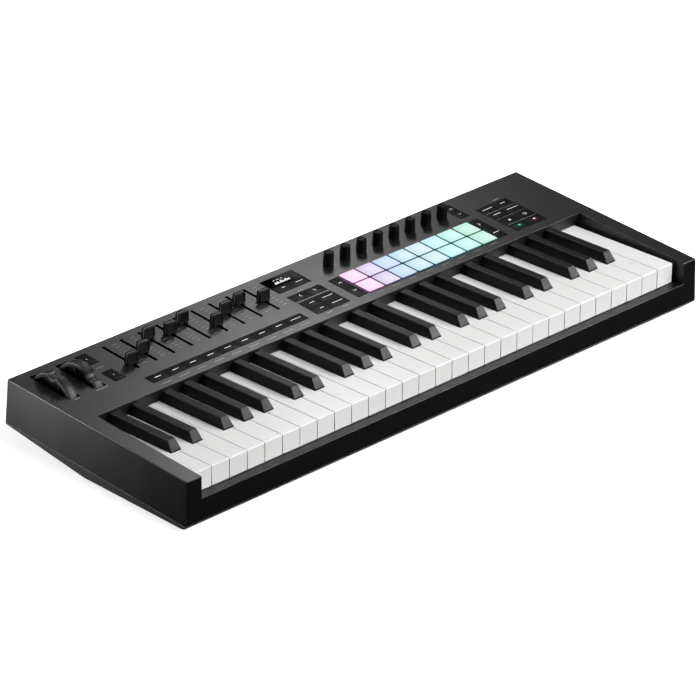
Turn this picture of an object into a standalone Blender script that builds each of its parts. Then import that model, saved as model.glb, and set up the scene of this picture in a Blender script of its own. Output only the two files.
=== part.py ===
"""A 49-key MIDI keyboard controller as an assembly of its real sub-parts.

Metres, +Z up. X runs along the keys (low notes at -X), -Y is the player's side,
and Z = 0 is the table that the feet stand on. The control panel leans up to the rear;
everything that sits on it is placed in the panel's own frame: x along the keys,
v up the panel from its front edge, w out of the panel.
"""

import math

import bmesh
import bpy
from mathutils import Matrix, Vector

MM = 0.001

# Case
CASE_HALF = 362.1 * MM  # half width at the top edge
FRONT_Y = -133.5 * MM
REAR_Y = 131.1 * MM
PANEL_FRONT_Z = 57.75 * MM
PANEL_SLOPE = 0.0456
SIDE_DRAFT = 0.04
REAR_DRAFT = 0.052
WALL = 3.0 * MM
PANEL_SKIN = 2.5 * MM
CORNER_RADIUS = 1.0 * MM
TOP_EDGE_RADIUS = 0.6 * MM
PARTING_FRONT_Z = 9.5 * MM
BASE_Z = 5.0 * MM  # flat underside
BASE_BREAK_Y = 15.0 * MM  # where the underside starts to rise to the rear
BASE_RISE = 0.124
FLOOR = 2.5 * MM
GAP = 0.3 * MM
# Feet, as x, y, half length, half depth; the rear pair is tall
FRONT_FOOT = (300.0 * MM, -112.0 * MM, 16.0 * MM, 6.0 * MM)
REAR_FOOT = (245.0 * MM, 96.0 * MM, 20.0 * MM, 6.0 * MM)

# Key well and keys
WELL_LEFT = -342.6 * MM
WELL_RIGHT = 343.7 * MM
FALLBOARD_Y = 18.6 * MM
FALLBOARD_SKIN = 2.4 * MM
FALLBOARD_BOTTOM_Z = 52.2 * MM
TRAY_Z = 33.4 * MM
TRAY_BACK_Y = -122.4 * MM
WHITE_KEYS = 29
WHITE_PITCH = 23.5 * MM
WHITE_WIDTH = 22.9 * MM
KEYS_LEFT = -342.7 * MM
KEY_FRONT_Y = -121.6 * MM
KEY_TOP_FRONT_Z = 55.8 * MM
KEY_TOP_SLOPE = -0.033  # at rest the fronts stand a little high
KEY_SKIRT_Z = 33.8 * MM
KEY_TAIL_BOTTOM_Z = 39.0 * MM
KEY_WALL = 1.8 * MM
WHITE_END_Y = 48.5 * MM
WHITE_PIVOT = (44.0 * MM, 44.0 * MM)
BLACK_OFFSETS = {0: -2.4 * MM, 1: 2.4 * MM, 3: -3.5 * MM, 4: 0.0, 5: 3.5 * MM}
BLACK_WIDTH = 13.0 * MM
BLACK_TOP_WIDTH = 9.5 * MM
BLACK_RISE = 10.9 * MM
BLACK_FRONT_Y = -73.6 * MM
BLACK_FRONT_LEAN = 7.5 * MM
BLACK_BOTTOM_Z = 37.0 * MM
BLACK_CLEARANCE = 0.8 * MM
BLACK_PIVOT = (51.7 * MM, 43.0 * MM)
OCTAVES = 4

# Controls, in the panel's frame
FADERS = 9
FADER_X = -246.0 * MM
FADER_PITCH = 24.05 * MM
FADER_SLOT = (198.6 * MM, 254.4 * MM)
FADER_SLOT_WIDTH = 3.5 * MM
FADER_TRAVEL = (203.6 * MM, 249.3 * MM)
FADER_SET = (0.148, 0.362, 0.775, 0.642, 0.824, 0.263, 0.544, 0.670, 0.432)  # of the travel
CAP_HALF = (6.9 * MM, 3.5 * MM)
CAP_LEVELS = (0.6 * MM, 13.0 * MM)
CAP_TAPER = (0.94, 0.857)  # the cap's top against its foot
BLADE_HALF = (1.1 * MM, 2.3 * MM)
STEM_BOTTOM = -3.9 * MM  # of fader blades, knob shafts and buttons
COLUMNS = 8
COLUMN_X = 53.4 * MM
COLUMN_PITCH = 23.9 * MM
KNOB_V = 238.1 * MM
KNOB_HOLE = 3.6 * MM
KNOB_RADII = (4.9 * MM, 5.4 * MM, 5.8 * MM, 3.0 * MM)  # top face, shoulder, foot, shaft
KNOB_LEVELS = (15.0 * MM, 14.5 * MM, 0.8 * MM)
PAD_SIZE = (22.6 * MM, 23.2 * MM)
PAD_ROWS_V = (176.2 * MM, 200.7 * MM)
PAD_RISE = 1.7 * MM
WHEEL_X = {"pitch_wheel": -335.4 * MM, "mod_wheel": -301.5 * MM}
WHEEL_SLOT = (193.5 * MM, 254.4 * MM)
WHEEL_SLOT_WIDTH = 14.0 * MM
WHEEL_RADIUS = 32.0 * MM
WHEEL_AXIS = (90.2 * MM, 50.2 * MM)
WHEEL_HALF = 5.5 * MM
WHEEL_EDGE = 1.2 * MM
STUB = (4.0 * MM, 6.6 * MM)  # radius and half length of the axle
NOTCH_RADIUS = 8.0 * MM
NOTCH_REACH = 4.0 * MM  # the notch's centre above the rim
NOTCH_TURN = {"pitch_wheel": math.radians(3.5), "mod_wheel": math.radians(38)}  # towards the player
BUTTON_RISE = 0.2 * MM
BUTTON_GAP = 0.6 * MM
# Blocks of buttons: left, right, lower v, upper v, columns, rows
BUTTON_BLOCKS = {
    "fader_buttons": (-256.2, -43.7, 165.6, 179.3, 9, 1),
    "octave_down": (-282.7, -268.7, 192.5, 214.5, 1, 1),
    "octave_up": (-282.7, -268.7, 233.1, 254.9, 1, 1),
    "menu_buttons": (-30.7, 14.8, 165.6, 195.5, 2, 2),
    "track_buttons": (-30.7, 14.8, 198.6, 212.3, 2, 1),
    "display_buttons": (-30.7, 14.8, 222.9, 236.0, 2, 1),
    "pad_left_buttons": (27.3, 40.4, 165.6, 211.7, 1, 2),
    "pad_right_buttons": (234.8, 247.8, 165.6, 212.3, 1, 2),
    "bank_buttons": (234.8, 247.8, 222.9, 254.4, 1, 2),
    "transport_upper": (261.3, 306.8, 197.5, 227.5, 2, 2),
    "transport_lower": (261.3, 306.8, 165.1, 196.0, 2, 2),
}
DISPLAY = (-30.7 * MM, 14.8 * MM, 236.9 * MM, 253.9 * MM)

# Sockets in the rear wall: x, z, half width, half height
JACK = (-160.0 * MM, 38.0 * MM, 5.0 * MM)
DIN = (-190.0 * MM, 38.0 * MM, 8.5 * MM)
USB = (-218.0 * MM, 38.0 * MM, 5.4 * MM, 2.4 * MM)
LOCK = (-128.0 * MM, 38.0 * MM, 3.6 * MM, 1.7 * MM)
IO_BACK_Y = 127.4 * MM
JACK_BORE = 3.3 * MM

# Sheets and boards under the panel, as heights in its frame
PAD_SHEET = (-5.0 * MM, -3.2 * MM)
KEYPAD_SHEET = (-4.4 * MM, -3.2 * MM)
BOARD_LEVELS = (-12.6 * MM, -11.0 * MM)
BODY_TOP = -4.6 * MM

PANEL_ANGLE = math.atan(PANEL_SLOPE)


def clear_scene():
    for obj in list(bpy.data.objects):
        bpy.data.objects.remove(obj, do_unlink=True)


def collection(name):
    made = bpy.data.collections.new(name)
    bpy.context.scene.collection.children.link(made)
    return made


clear_scene()
PARTS = collection("midi_keyboard")
CUTTERS = collection("cutters")
CUTTERS.hide_render = True


def material(name, colour, roughness, metallic=0.0):
    made = bpy.data.materials.new(name)
    made.use_nodes = True
    shader = made.node_tree.nodes["Principled BSDF"]
    shader.inputs["Base Color"].default_value = (*colour, 1.0)
    shader.inputs["Roughness"].default_value = roughness
    shader.inputs["Metallic"].default_value = metallic
    return made


CASE_PLASTIC = material("case_plastic", (0.035, 0.036, 0.038), 0.55)
BASE_PLASTIC = material("base_plastic", (0.016, 0.016, 0.017), 0.6)
WHITE_PLASTIC = material("white_key_plastic", (0.86, 0.86, 0.85), 0.3)
BLACK_PLASTIC = material("black_key_plastic", (0.02, 0.02, 0.021), 0.4)
FRAME_PLASTIC = material("frame_plastic", (0.3, 0.3, 0.3), 0.6)
BOARD_LAMINATE = material("board_laminate", (0.008, 0.010, 0.009), 0.6)
DISPLAY_GLASS = material("display_glass", (0.004, 0.004, 0.005), 0.08)
PAD_SILICONE = material("pad_silicone", (0.8, 0.78, 0.95), 0.45)
BUTTON_SILICONE = material("button_silicone", (0.03, 0.03, 0.032), 0.6)
CAP_PLASTIC = material("cap_plastic", (0.012, 0.012, 0.013), 0.35)
SOCKET_PLASTIC = material("socket_plastic", (0.01, 0.01, 0.011), 0.5)


def box(low, high):
    """A block between two corners."""
    bm = bmesh.new()
    low, high = Vector(low), Vector(high)
    size = Matrix.Diagonal((*(high - low), 1.0))
    bmesh.ops.create_cube(bm, size=1.0, matrix=Matrix.Translation((low + high) / 2) @ size)
    return bm


def cylinder(radius, start, end, segments):
    """A round bar from one point to another."""
    bm = bmesh.new()
    start, end = Vector(start), Vector(end)
    turn = Vector((0, 0, 1)).rotation_difference(end - start).to_matrix().to_4x4()
    bmesh.ops.create_cone(
        bm, cap_ends=True, segments=segments, radius1=radius, radius2=radius,
        depth=(end - start).length, matrix=Matrix.Translation((start + end) / 2) @ turn,
    )
    return bm


def prism(outline, left, right):
    """An outline in Y and Z, drawn along X."""
    bm = bmesh.new()
    face = bm.faces.new([bm.verts.new((left, y, z)) for y, z in outline])
    moved = bmesh.ops.extrude_face_region(bm, geom=[face])["geom"]
    verts = [item for item in moved if isinstance(item, bmesh.types.BMVert)]
    bmesh.ops.translate(bm, verts=verts, vec=(right - left, 0, 0))
    bmesh.ops.recalc_face_normals(bm, faces=bm.faces)
    return bm


def merged(shapes):
    """Separate shapes in one mesh."""
    bm = bmesh.new()
    for shape in shapes:
        mesh = bpy.data.meshes.new("shape")
        shape.to_mesh(mesh)
        shape.free()
        bm.from_mesh(mesh)
        bpy.data.meshes.remove(mesh)
    return bm


def place(name, shape, finish=None, location=(0, 0, 0), parent=None, group=None, smooth=False):
    mesh = shape
    if isinstance(shape, bmesh.types.BMesh):
        mesh = bpy.data.meshes.new(name)
        shape.to_mesh(mesh)
        shape.free()
    if finish and not mesh.materials:
        mesh.materials.append(finish)
    if smooth:
        mesh.shade_smooth()
        mesh.set_sharp_from_angle(angle=math.radians(40))
    obj = bpy.data.objects.new(name, mesh)
    (group or PARTS).objects.link(obj)
    obj.location = location
    obj.parent = parent
    return obj


def helper(name, shape, parent=None, location=(0, 0, 0)):
    """A shape that only cuts or joins."""
    obj = place(name, shape, location=location, parent=parent, group=CUTTERS)
    obj.hide_render = True
    obj.display_type = "WIRE"
    return obj


def combine(obj, other, operation="DIFFERENCE"):
    modifier = obj.modifiers.new(operation.lower(), "BOOLEAN")
    modifier.operation = operation
    modifier.solver = "EXACT"
    modifier.object = other


def settled(obj):
    """The object's mesh with its modifiers applied, for copies to share."""
    bpy.context.view_layer.update()
    mesh = bpy.data.meshes.new_from_object(obj.evaluated_get(bpy.context.evaluated_depsgraph_get()))
    bpy.data.objects.remove(obj, do_unlink=True)
    return mesh


def panel_z(y):
    return PANEL_FRONT_Z + PANEL_SLOPE * (y - FRONT_Y)


def parting_z(y):
    return PARTING_FRONT_Z + PANEL_SLOPE * (y - FRONT_Y)


def base_z(y):
    return BASE_Z + BASE_RISE * max(0.0, y - BASE_BREAK_Y)


def panel_frame():
    empty = bpy.data.objects.new("panel_frame", None)
    PARTS.objects.link(empty)
    empty.location = (0, FRONT_Y, PANEL_FRONT_Z)
    empty.rotation_euler = (PANEL_ANGLE, 0, 0)
    return empty


PANEL = panel_frame()


def drafted_block(inset, top_drop, lift):
    """The upper case's outside, or that shape made smaller for its inside."""
    front, rear = FRONT_Y + inset, REAR_Y - inset
    bm = box((-1, -1, -1), (1, 1, 1))
    for vert in bm.verts:
        side, back, top = (c > 0 for c in vert.co)
        y = rear if back else front
        z = panel_z(y) - top_drop if top else parting_z(y) - lift
        drop = panel_z(y) - z
        if back:
            y += REAR_DRAFT * drop
        half = CASE_HALF - inset + SIDE_DRAFT * drop
        vert.co = (half if side else -half, y, z)
    return bm


def round_corners(bm, radius, top_radius):
    upright = [e for e in bm.edges if abs(e.verts[0].co.z - e.verts[1].co.z) > 20 * MM]
    bmesh.ops.bevel(bm, geom=upright, offset=radius, segments=3, profile=0.5, affect="EDGES")
    top = [e for e in bm.edges if all(v.co.z > PANEL_FRONT_Z - 1 * MM for v in e.verts)
           and any(abs(f.normal.z) < 0.5 for f in e.link_faces)]
    bmesh.ops.bevel(bm, geom=top, offset=top_radius, segments=1, affect="EDGES")
    return bm


def block_boxes(margin, low_w, high_w):
    """One box for each block of buttons, in the panel's frame."""
    return [
        box((left * MM - margin, low * MM - margin, low_w), (right * MM + margin, high * MM + margin, high_w))
        for left, right, low, high, _, _ in BUTTON_BLOCKS.values()
    ]


def fader_x(index):
    return FADER_X + index * FADER_PITCH


def column_x(index):
    return COLUMN_X + index * COLUMN_PITCH


def pad_field(margin):
    return (
        (column_x(0) - PAD_SIZE[0] / 2 - margin, PAD_ROWS_V[0] - PAD_SIZE[1] / 2 - margin),
        (column_x(COLUMNS - 1) + PAD_SIZE[0] / 2 + margin, PAD_ROWS_V[1] + PAD_SIZE[1] / 2 + margin),
    )


def panel_cutters():
    """Every hole in the control panel."""
    deep, high = -9 * MM, 5 * MM
    holes = block_boxes(GAP, deep, high)
    for x in WHEEL_X.values():
        half = WHEEL_SLOT_WIDTH / 2
        holes.append(box((x - half, WHEEL_SLOT[0], deep), (x + half, WHEEL_SLOT[1], high)))
    for index in range(FADERS):
        x, half = fader_x(index), FADER_SLOT_WIDTH / 2
        holes.append(box((x - half, FADER_SLOT[0], deep), (x + half, FADER_SLOT[1], high)))
    for index in range(COLUMNS):
        x = column_x(index)
        holes.append(cylinder(KNOB_HOLE, (x, KNOB_V, deep), (x, KNOB_V, high), 14))
    low, far = pad_field(GAP)
    holes.append(box((*low, deep), (*far, high)))
    return helper("panel_holes", merged(holes), parent=PANEL)


def display_cutter():
    """The display's opening, which runs into that of the two buttons below it."""
    left, right, near, back = DISPLAY
    hole = box((left - GAP, near - 1 * MM, -9 * MM), (right + GAP, back + GAP, 5 * MM))
    return helper("display_hole", hole, parent=PANEL)


def socket_cutters():
    near, far = IO_BACK_Y - 5 * MM, REAR_Y + 12 * MM
    holes = [
        cylinder(JACK[2], (JACK[0], near, JACK[1]), (JACK[0], far, JACK[1]), 20),
        cylinder(DIN[2], (DIN[0], near, DIN[1]), (DIN[0], far, DIN[1]), 24),
    ]
    for x, z, half_x, half_z in (USB, LOCK):
        holes.append(box((x - half_x, near, z - half_z), (x + half_x, far, z + half_z)))
    return helper("socket_holes", merged(holes))


def top_case():
    """Upper shell: control panel, two cheeks, rear and side walls, fallboard and front lip."""
    outside = round_corners(drafted_block(0, 0, 0), CORNER_RADIUS, TOP_EDGE_RADIUS)
    case = place("top_case", outside, CASE_PLASTIC)
    below, above = -10 * MM, 90 * MM
    inner_front = FRONT_Y + WALL
    cheek = {"left_cheek_hollow": (-CASE_HALF + WALL, WELL_LEFT - WALL),
             "right_cheek_hollow": (WELL_RIGHT + WALL, CASE_HALF - WALL)}
    for name, (left, right) in cheek.items():
        outline = [(inner_front, below), (FALLBOARD_Y + 5 * MM, below),
                   (FALLBOARD_Y + 5 * MM, panel_z(FALLBOARD_Y + 5 * MM) - PANEL_SKIN),
                   (inner_front, panel_z(inner_front) - PANEL_SKIN)]
        combine(case, helper(name, prism(outline, left, right)))
    cavity_front = FALLBOARD_Y + FALLBOARD_SKIN
    cavity_back = REAR_Y - WALL
    outline = [(cavity_front, below), (cavity_back, below),
               (cavity_back, panel_z(cavity_back) - PANEL_SKIN),
               (cavity_front, panel_z(cavity_front) - PANEL_SKIN)]
    half = CASE_HALF - WALL
    combine(case, helper("panel_hollow", prism(outline, -half, half)))
    lip = box((WELL_LEFT + WALL, inner_front, below), (WELL_RIGHT - WALL, TRAY_BACK_Y - WALL, TRAY_Z - WALL))
    combine(case, helper("lip_hollow", lip))
    well = box((WELL_LEFT, TRAY_BACK_Y, below), (WELL_RIGHT, FALLBOARD_Y, above))
    combine(case, helper("key_well", well))
    front = box((WELL_LEFT, FRONT_Y - 5 * MM, TRAY_Z), (WELL_RIGHT, TRAY_BACK_Y + 1 * MM, above))
    combine(case, helper("well_front", front))
    slot = box((WELL_LEFT, FALLBOARD_Y - 1 * MM, below), (WELL_RIGHT, cavity_front + 1 * MM, FALLBOARD_BOTTOM_Z))
    combine(case, helper("fallboard_slot", slot))
    combine(case, panel_cutters())
    combine(case, display_cutter())
    combine(case, socket_cutters())
    return case


def foot(side, spot):
    x, y, half_x, half_y = spot
    return box((side * x - half_x, y - half_y, 0), (side * x + half_x, y + half_y, base_z(y - half_y) + 1 * MM))


def bottom_case():
    """Lower tray, with its four feet: two low ones in front, two tall ones under the raised rear."""
    rim = GAP
    rear = REAR_Y + 2.2 * MM
    outline = [
        (FRONT_Y, parting_z(FRONT_Y) - rim), (FRONT_Y, 8.2 * MM), (FRONT_Y + 2.0 * MM, 6.1 * MM),
        (FRONT_Y + 6.0 * MM, BASE_Z), (BASE_BREAK_Y, BASE_Z), (rear, base_z(rear)),
        (rear, parting_z(rear) - rim),
    ]
    half = CASE_HALF + SIDE_DRAFT * 48 * MM
    tray = place("bottom_case", prism(outline, -half, half), BASE_PLASTIC)
    front, back = FRONT_Y + 6.0 * MM, rear - WALL
    inside = [(front, 60 * MM), (front, BASE_Z + FLOOR), (BASE_BREAK_Y, BASE_Z + FLOOR),
              (back, base_z(back) + FLOOR), (back, 60 * MM)]
    combine(tray, helper("tray_hollow", prism(inside, WALL - half, half - WALL)))
    feet = [foot(side, spot) for spot in (FRONT_FOOT, REAR_FOOT) for side in (-1, 1)]
    combine(tray, helper("feet", merged(feet)), "UNION")
    return tray


def key_top_z(y):
    return KEY_TOP_FRONT_Z + KEY_TOP_SLOPE * (y - KEY_FRONT_Y)


def key_bottom_z(y):
    share = (y - KEY_FRONT_Y) / (WHITE_END_Y - KEY_FRONT_Y)
    return KEY_SKIRT_Z + (KEY_TAIL_BOTTOM_Z - KEY_SKIRT_Z) * share


def black_x(white):
    """Middle of the black key between this white key and the next, or None."""
    note = white % 7
    if white >= WHITE_KEYS - 1 or note not in BLACK_OFFSETS:
        return None
    return KEYS_LEFT + (white + 1) * WHITE_PITCH + BLACK_OFFSETS[note]


def white_outline(white):
    """Plan of one white key: full width in front, cut back beside the black keys."""
    middle = KEYS_LEFT + (white + 0.5) * WHITE_PITCH
    left, right = middle - WHITE_WIDTH / 2, middle + WHITE_WIDTH / 2
    clear = BLACK_WIDTH / 2 + BLACK_CLEARANCE
    step = BLACK_FRONT_Y - BLACK_CLEARANCE
    before, after = black_x(white - 1) if white else None, black_x(white)
    points = [(left, KEY_FRONT_Y), (right, KEY_FRONT_Y)]
    tail_right = right
    if after is not None:
        tail_right = after - clear
        points += [(right, step), (tail_right, step)]
    points.append((tail_right, WHITE_END_Y))
    tail_left = left
    if before is not None:
        tail_left = before + clear
        points += [(tail_left, WHITE_END_Y), (tail_left, step), (left, step)]
    else:
        points.append((left, WHITE_END_Y))
    return middle, points


def white_key(white):
    """A hollow white key, open underneath, with its origin on its pivot."""
    middle, outline = white_outline(white)
    pivot_y, pivot_z = WHITE_PIVOT
    bm = bmesh.new()
    top = bm.faces.new([bm.verts.new((x, y, key_top_z(y))) for x, y in outline])
    under = bmesh.ops.extrude_face_region(bm, geom=[top])["geom"]
    bottom = next(item for item in under if isinstance(item, bmesh.types.BMFace))
    for vert in bottom.verts:
        vert.co.z = key_bottom_z(vert.co.y)
    bmesh.ops.recalc_face_normals(bm, faces=bm.faces)
    bmesh.ops.inset_region(bm, faces=[bottom], thickness=KEY_WALL, use_even_offset=True)
    inner = bmesh.ops.extrude_face_region(bm, geom=[bottom])["geom"]
    for item in inner:
        if isinstance(item, bmesh.types.BMVert):
            item.co.z = key_top_z(item.co.y) - KEY_WALL
    bmesh.ops.delete(bm, geom=[bottom], context="FACES")
    bmesh.ops.recalc_face_normals(bm, faces=bm.faces)
    bmesh.ops.translate(bm, verts=bm.verts, vec=(-middle, -pivot_y, -pivot_z))
    name = f"white_key_{white + 1:02d}"
    return place(name, bm, WHITE_PLASTIC, location=(middle, pivot_y, pivot_z))


def black_body(x):
    """One black key above its tail: upright sides below the white tops, tapered above."""
    back = FALLBOARD_Y - 0.5 * MM
    bm = box((x - BLACK_WIDTH / 2, BLACK_FRONT_Y, BLACK_BOTTOM_Z), (x + BLACK_WIDTH / 2, back, 60 * MM))
    for vert in bm.verts:
        if vert.co.z > 50 * MM:
            vert.co.z = key_top_z(vert.co.y) + 0.5 * MM
    top = max(bm.faces, key=lambda face: face.calc_center_median().z)
    raised = bmesh.ops.extrude_face_region(bm, geom=[top])["geom"]
    for item in raised:
        if isinstance(item, bmesh.types.BMVert):
            item.co.x = x + math.copysign(BLACK_TOP_WIDTH / 2, item.co.x - x)
            if item.co.y < 0:
                item.co.y += BLACK_FRONT_LEAN
            item.co.z = key_top_z(item.co.y) + BLACK_RISE
    bmesh.ops.delete(bm, geom=[top], context="FACES")
    bmesh.ops.recalc_face_normals(bm, faces=bm.faces)
    return bm


def black_octave(octave):
    """The five black keys of an octave, moulded on one rail behind the white keys' ends."""
    middles = [black_x(octave * 7 + note) for note in BLACK_OFFSETS]
    pivot_y, pivot_z = BLACK_PIVOT
    rail_front, rail_back = WHITE_END_Y + 1.0 * MM, WHITE_END_Y + 5.3 * MM
    rail = box((middles[0] - 6 * MM, rail_front, 39 * MM), (middles[-1] + 6 * MM, rail_back, 47 * MM))
    tails = [box((x - 4.7 * MM, FALLBOARD_Y - 6 * MM, 40 * MM), (x + 4.7 * MM, rail_front + 1 * MM, 46 * MM))
             for x in middles]
    pockets = [box((x - 4.4 * MM, BLACK_FRONT_Y + 3 * MM, 30 * MM), (x + 4.4 * MM, FALLBOARD_Y - 9 * MM, 54 * MM))
               for x in middles]
    bodies = [black_body(x) for x in middles]
    offset = Vector((-middles[2], -pivot_y, -pivot_z))
    shapes = {"rail": rail, "tails": merged(tails), "bodies": merged(bodies), "pockets": merged(pockets)}
    for bm in shapes.values():
        bmesh.ops.translate(bm, verts=bm.verts, vec=offset)
    spot = (middles[2], pivot_y, pivot_z)
    number = octave + 1
    comb = place(f"black_keys_octave_{number}", shapes["rail"], BLACK_PLASTIC, location=spot)
    for name in ("tails", "bodies", "pockets"):
        joined = helper(f"black_{name}_{number}", shapes[name], location=spot)
        combine(comb, joined, "DIFFERENCE" if name == "pockets" else "UNION")
    return comb


def key_chassis():
    """The moulded frame under the keys: base, front stop rail and rear pivot rail."""
    outline = [(-118, 9), (15, 9), (58, 14.5), (58, 36), (34, 36), (30, 15), (-108, 12), (-108, 19), (-118, 19)]
    bm = prism([(y * MM, z * MM) for y, z in outline], WELL_LEFT + 1 * MM, WELL_RIGHT - 1 * MM)
    return place("key_chassis", bm, FRAME_PLASTIC)


def fader_mesh():
    """A fader cap with the blade that goes down through its slot."""
    half_x, half_y = CAP_HALF
    foot_w, top_w = CAP_LEVELS
    bm = box((-half_x, -half_y, foot_w), (half_x, half_y, top_w))
    for vert in bm.verts:
        if vert.co.z > foot_w + 1 * MM:
            vert.co.x *= CAP_TAPER[0]
            vert.co.y *= CAP_TAPER[1]
    bmesh.ops.bevel(bm, geom=list(bm.edges), offset=0.5 * MM, segments=1, affect="EDGES")
    cap = place("fader_shape", bm, CAP_PLASTIC)
    blade_x, blade_y = BLADE_HALF
    blade = box((-blade_x, -blade_y, STEM_BOTTOM), (blade_x, blade_y, foot_w + 2 * MM))
    joined = helper("fader_blade", blade)
    combine(cap, joined, "UNION")
    mesh = settled(cap)
    bpy.data.objects.remove(joined, do_unlink=True)
    return mesh


def faders():
    mesh = fader_mesh()
    low, high = FADER_TRAVEL
    for index, share in enumerate(FADER_SET):
        spot = (fader_x(index), low + share * (high - low), 0)
        place(f"fader_cap_{index + 1}", mesh, location=spot, parent=PANEL)


def turned(name, profile, axis, steps):
    """A profile of (radius, height) points, from its upper end down, turned about an axis."""
    mesh = bpy.data.meshes.new(name)
    points = [(r, 0, h) if axis == "Z" else (h, 0, r) for r, h in profile]
    mesh.from_pydata(points, [(i, i + 1) for i in range(len(points) - 1)], [])
    obj = place(name, mesh)
    screw = obj.modifiers.new("turn", "SCREW")
    screw.axis = axis
    screw.steps = screw.render_steps = steps
    screw.use_merge_vertices = True
    screw.merge_threshold = 0.00001
    return obj


def knobs():
    face, shoulder, skirt, shaft = KNOB_RADII
    top, edge, under = KNOB_LEVELS
    profile = [(0, top), (face, top), (shoulder, edge), (skirt, under), (shaft, under),
               (shaft, STEM_BOTTOM), (0, STEM_BOTTOM)]
    mesh = settled(turned("knob_shape", profile, "Z", 20))
    mesh.materials.append(CAP_PLASTIC)
    for index in range(COLUMNS):
        place(f"knob_{index + 1}", mesh, location=(column_x(index), KNOB_V, 0), parent=PANEL, smooth=True)


def wheel(name):
    """A thumb wheel on its stub axle, with a finger notch across its rim."""
    rim, half, edge, (stub, stub_half) = WHEEL_RADIUS, WHEEL_HALF, WHEEL_EDGE, STUB
    upper = [(0, stub_half), (stub, stub_half), (stub, half), (rim - edge, half), (rim, half - edge)]
    profile = [(r, -h) for r, h in upper] + [(r, h) for r, h in reversed(upper)]
    mesh = settled(turned(name + "_shape", profile, "X", 44))
    mesh.materials.append(CAP_PLASTIC)
    spot = (WHEEL_X[name], *WHEEL_AXIS)
    obj = place(name, mesh, location=spot, smooth=True)
    reach = WHEEL_RADIUS + NOTCH_REACH
    y, z = -reach * math.sin(NOTCH_TURN[name]), reach * math.cos(NOTCH_TURN[name])
    notch = cylinder(NOTCH_RADIUS, (-8 * MM, y, z), (8 * MM, y, z), 16)
    combine(obj, helper(name + "_notch", notch, location=spot))
    return obj


def pad_mat():
    """Sixteen pads moulded on one silicone sheet."""
    low, far = pad_field(2 * MM)
    lower, upper = PAD_SHEET
    sheet = place("pad_mat", box((*low, lower), (*far, upper)), PAD_SILICONE, parent=PANEL)
    half_x, half_v = PAD_SIZE[0] / 2, PAD_SIZE[1] / 2
    root = (lower + upper) / 2
    pads = [box((column_x(i) - half_x, v - half_v, root), (column_x(i) + half_x, v + half_v, PAD_RISE))
            for i in range(COLUMNS) for v in PAD_ROWS_V]
    combine(sheet, helper("pads", merged(pads), parent=PANEL), "UNION")
    return sheet


def button_caps():
    caps = []
    for left, right, low, high, columns, rows in BUTTON_BLOCKS.values():
        step_x = (right - left) * MM / columns
        step_v = (high - low) * MM / rows
        for column in range(columns):
            for row in range(rows):
                x, v = left * MM + column * step_x, low * MM + row * step_v
                half = BUTTON_GAP / 2
                caps.append(box((x + half, v + half, STEM_BOTTOM), (x + step_x - half, v + step_v - half, BUTTON_RISE)))
    return caps


def button_mat():
    """All the buttons on one keypad sheet, a comb whose spine runs in front of the pads."""
    lower, upper = KEYPAD_SHEET
    pads_low, pads_far = pad_field(2.3 * MM)
    spine = box((-283.7 * MM, 157.2 * MM, lower), (307.8 * MM, pads_low[1] - 0.2 * MM, upper))
    sheet = place("button_mat", spine, BUTTON_SILICONE, parent=PANEL)
    teeth = {
        "fader_row": (-257.2 * MM, -42.7 * MM, 180.3 * MM),
        "wheel_side": (-283.7 * MM, -267.7 * MM, 255.9 * MM),
        "centre": (-31.7 * MM, 15.8 * MM, 235.9 * MM),
        "pad_left": (26.3 * MM, pads_low[0] - 0.1 * MM, 212.7 * MM),
        "pad_right": (pads_far[0] + 0.1 * MM, 248.8 * MM, 255.4 * MM),
        "transport": (260.3 * MM, 307.8 * MM, 228.5 * MM),
    }
    arms = [box((left, 158 * MM, lower), (right, top, upper)) for left, right, top in teeth.values()]
    combine(sheet, helper("keypad_arms", merged(arms), parent=PANEL), "UNION")
    combine(sheet, helper("button_caps", merged(button_caps()), parent=PANEL), "UNION")
    return sheet


def display_module():
    left, right, near, back = DISPLAY
    lens = box((left, near, -9 * MM), (right, back, -0.2 * MM))
    module = place("display_module", lens, DISPLAY_GLASS, parent=PANEL)
    flange = box((left - 3 * MM, near + 0.2 * MM, -5.0 * MM), (right + 3 * MM, back + 1.5 * MM, -3.0 * MM))
    combine(module, helper("display_flange", flange, parent=PANEL), "UNION")
    return module


def main_board():
    """The panel's circuit board, with the fader and encoder bodies on it."""
    board = box((-262 * MM, 157.5 * MM, BOARD_LEVELS[0]), (312 * MM, 256 * MM, BOARD_LEVELS[1]))
    obj = place("main_board", board, BOARD_LAMINATE, parent=PANEL)
    bodies = []
    root = BOARD_LEVELS[1] - 0.5 * MM
    for index in range(FADERS):
        x = fader_x(index)
        low, high = FADER_SLOT
        bodies.append(box((x - 4.5 * MM, low - 3 * MM, root), (x + 4.5 * MM, high + 0.5 * MM, BODY_TOP)))
    for index in range(COLUMNS):
        x = column_x(index)
        bodies.append(box((x - 6 * MM, KNOB_V - 6.5 * MM, root), (x + 6 * MM, KNOB_V + 6.5 * MM, BODY_TOP)))
    combine(obj, helper("board_bodies", merged(bodies), parent=PANEL), "UNION")
    return obj


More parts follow.
